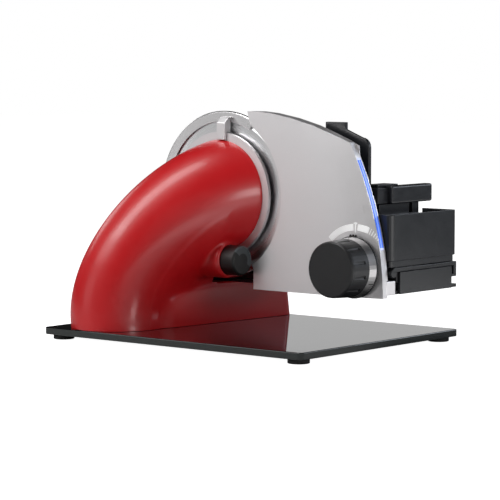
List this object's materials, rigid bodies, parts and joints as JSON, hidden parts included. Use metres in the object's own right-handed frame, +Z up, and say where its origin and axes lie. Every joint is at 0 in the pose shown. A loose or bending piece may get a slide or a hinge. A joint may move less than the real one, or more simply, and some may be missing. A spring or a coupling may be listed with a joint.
{
  "type": "deli meat slicer",
  "caption": "Electric food slicer: hooked motor housing on a glass base, round blade with a guard ring, sliding stop plate with a thickness dial, food carriage on a rail and a remnant holder.",
  "frame": {"origin": "on the table, under the middle of the glass base", "axes": "+X towards the user's right, away from the motor housing and along the blade's axle; +Y away from the user, along the carriage's travel; +Z up"},
  "size_m": [0.263, 0.345, 0.2384],
  "materials": {
    "red_lacquer": "gloss red lacquer",
    "black_glass": "opaque black safety glass, polished",
    "black_plastic": "fine satin",
    "soft_black": "soft matte",
    "black_aluminium": "black anodised, satin",
    "satin_silver": "fine satin silver",
    "blade_steel": "ground and polished stainless steel",
    "brushed_steel": "brushed",
    "grey_plastic": "satin grey",
    "blue_light": "translucent blue light guide",
    "rubber": "black rubber",
    "bronze": "sintered bronze",
    "steel": "plain turned steel",
    "nylon": "natural nylon",
    "circuit_board": "green solder mask"
  },
  "bodies": {
    "base": {"base_plate": "black_glass", "foot_front_left": "rubber", "foot_rear_left": "rubber", "foot_front_right": "rubber", "foot_rear_right": "rubber", "base_screw_1": "steel", "base_screw_2": "steel", "base_screw_3": "steel", "motor_housing": "red_lacquer", "floor_plate": "steel", "cable_gland": "rubber", "gear_flange": "satin_silver", "bearing_plate": "steel", "bearing_front": "steel", "bush_rear": "bronze", "motor_stator": "steel", "guard_ring": "brushed_steel", "ring_bracket_top": "brushed_steel", "ring_bracket_rear": "brushed_steel", "run_capacitor": "black_plastic", "control_board": "circuit_board", "button_spring": "steel", "button_switch": "black_plastic", "carriage_rail": "black_aluminium", "rail_cap_front": "black_plastic", "rail_cap_rear": "black_plastic", "shaft_guide": "nylon", "rail_screw_1": "steel", "rail_screw_2": "steel"},
    "blade": {"blade": "blade_steel", "blade_axle": "steel", "blade_gear": "nylon", "blade_hub": "black_plastic"},
    "blade_lock": {"blade_screw": "black_plastic"},
    "layshaft": {"layshaft": "steel", "layshaft_gear": "nylon", "layshaft_pinion": "steel"},
    "rotor": {"motor_rotor": "steel", "motor_shaft": "steel", "motor_pinion": "steel"},
    "stop": {"stop_plate": "satin_silver", "food_face": "satin_silver", "light_strip": "blue_light", "light_board": "circuit_board", "slide_shaft_front": "steel", "slide_shaft_rear": "steel"},
    "dial": {"thickness_knob": "soft_black", "dial_ring": "grey_plastic", "dial_rim": "soft_black", "dial_spindle": "steel", "dial_cam": "nylon"},
    "carriage": {"carriage_base": "black_plastic", "carriage_wall": "black_plastic", "holder_track": "black_aluminium"},
    "holder": {"pusher_plate": "black_plastic", "pusher_spikes": "steel", "holder_saddle": "black_plastic", "holder_grip": "black_plastic"},
    "button": {"power_button": "soft_black"}
  },
  "joints": [
    {"name": "blade_spin", "type": "hinge", "parent": "base", "child": "blade", "pos_m": [0, 0.0447, 0.15], "axis": [1, 0, 0], "continuous": true},
    {"name": "layshaft_spin", "type": "hinge", "parent": "base", "child": "layshaft", "pos_m": [0, 0.07462, 0.14786], "axis": [1, 0, 0], "continuous": true},
    {"name": "rotor_spin", "type": "hinge", "parent": "base", "child": "rotor", "pos_m": [0, 0.072, 0.124], "axis": [1, 0, 0], "continuous": true},
    {"name": "blade_lock_turn", "type": "hinge", "parent": "blade", "child": "blade_lock", "pos_m": [0, 0.0447, 0.15], "axis": [1, 0, 0], "range_deg": [0, 90]},
    {"name": "dial_turn", "type": "hinge", "parent": "stop", "child": "dial", "pos_m": [0, -0.137, 0.084], "axis": [1, 0, 0], "range_deg": [0, 300]},
    {"name": "stop_slide", "type": "slide", "parent": "base", "child": "stop", "axis": [-1, 0, 0], "range_m": [0, 0.0201]},
    {"name": "carriage_slide", "type": "slide", "parent": "base", "child": "carriage", "axis": [0, 1, 0], "range_m": [0, 0.17]},
    {"name": "holder_slide", "type": "slide", "parent": "carriage", "child": "holder", "axis": [1, 0, 0], "range_m": [0, 0.035]},
    {"name": "button_press", "type": "slide", "parent": "base", "child": "button", "axis": [0, 1, 0], "range_m": [0, 0.004], "stiffness_N_per_m": 400, "springref_m": -0.003}
  ],
  "couplings": [
    {"joint": "layshaft_spin", "follows": "blade_spin", "ratio": -4},
    {"joint": "rotor_spin", "follows": "blade_spin", "ratio": 12},
    {"joint": "stop_slide", "follows": "dial_turn", "m_per_rad": 0.0038197}
  ]
}
